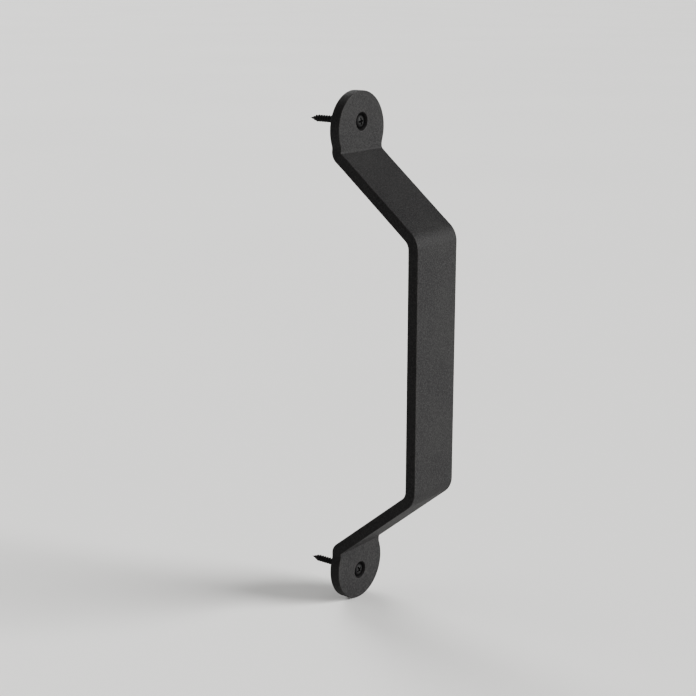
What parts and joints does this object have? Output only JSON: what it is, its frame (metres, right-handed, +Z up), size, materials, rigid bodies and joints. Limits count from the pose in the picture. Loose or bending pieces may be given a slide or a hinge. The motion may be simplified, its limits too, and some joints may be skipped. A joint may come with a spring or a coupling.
{
  "type": "pull handle",
  "caption": "Flat steel bar bent into a shallow bow with a round foot at each end, screwed to a door as a fixed pull handle.",
  "frame": {"origin": "on the door face, midway between the two screws", "axes": "+Z up along the handle, +Y into the door along the screws, +X to the right as seen from the room; the grip stands off towards -Y"},
  "size_m": [0.042, 0.0881, 0.3],
  "materials": {
    "black_powder_coat": "matte black powder coat with a fine sand texture",
    "black_screw": "black phosphate, slightly glossier than the bar"
  },
  "bodies": {
    "root": {"handle_bar": "black_powder_coat", "upper_screw": "black_screw", "lower_screw": "black_screw"}
  },
  "joints": []
}
